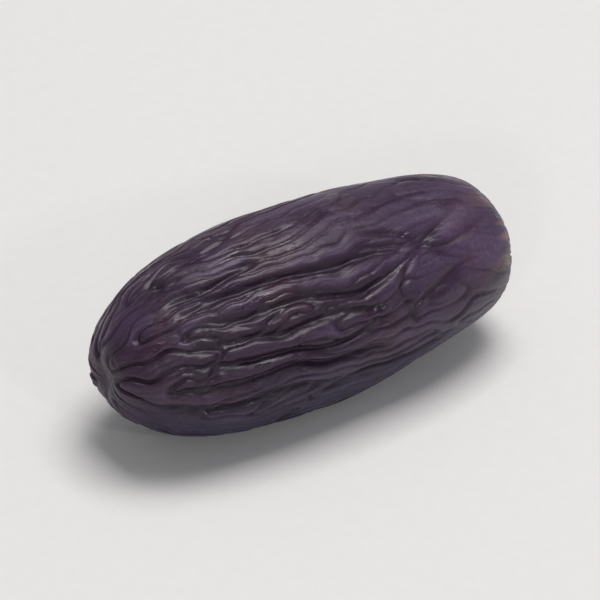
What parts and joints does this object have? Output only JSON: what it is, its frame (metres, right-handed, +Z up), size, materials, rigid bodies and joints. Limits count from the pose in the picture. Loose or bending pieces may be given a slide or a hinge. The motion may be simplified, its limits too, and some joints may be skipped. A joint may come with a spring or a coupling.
{
  "type": "date",
  "caption": "Dried dark date lying on its side: a blunt oval fruit with long wrinkles in its skin, a drawn-in tip and a dimpled stem scar.",
  "frame": {"origin": "middle of the fruit's length and width, on the surface it rests on", "axes": "+X along the fruit from the tip to the stem end, +Z up"},
  "size_m": [0.046, 0.021, 0.02],
  "materials": {
    "dried_skin": "satin"
  },
  "bodies": {
    "root": {"date": "dried_skin"}
  },
  "joints": []
}
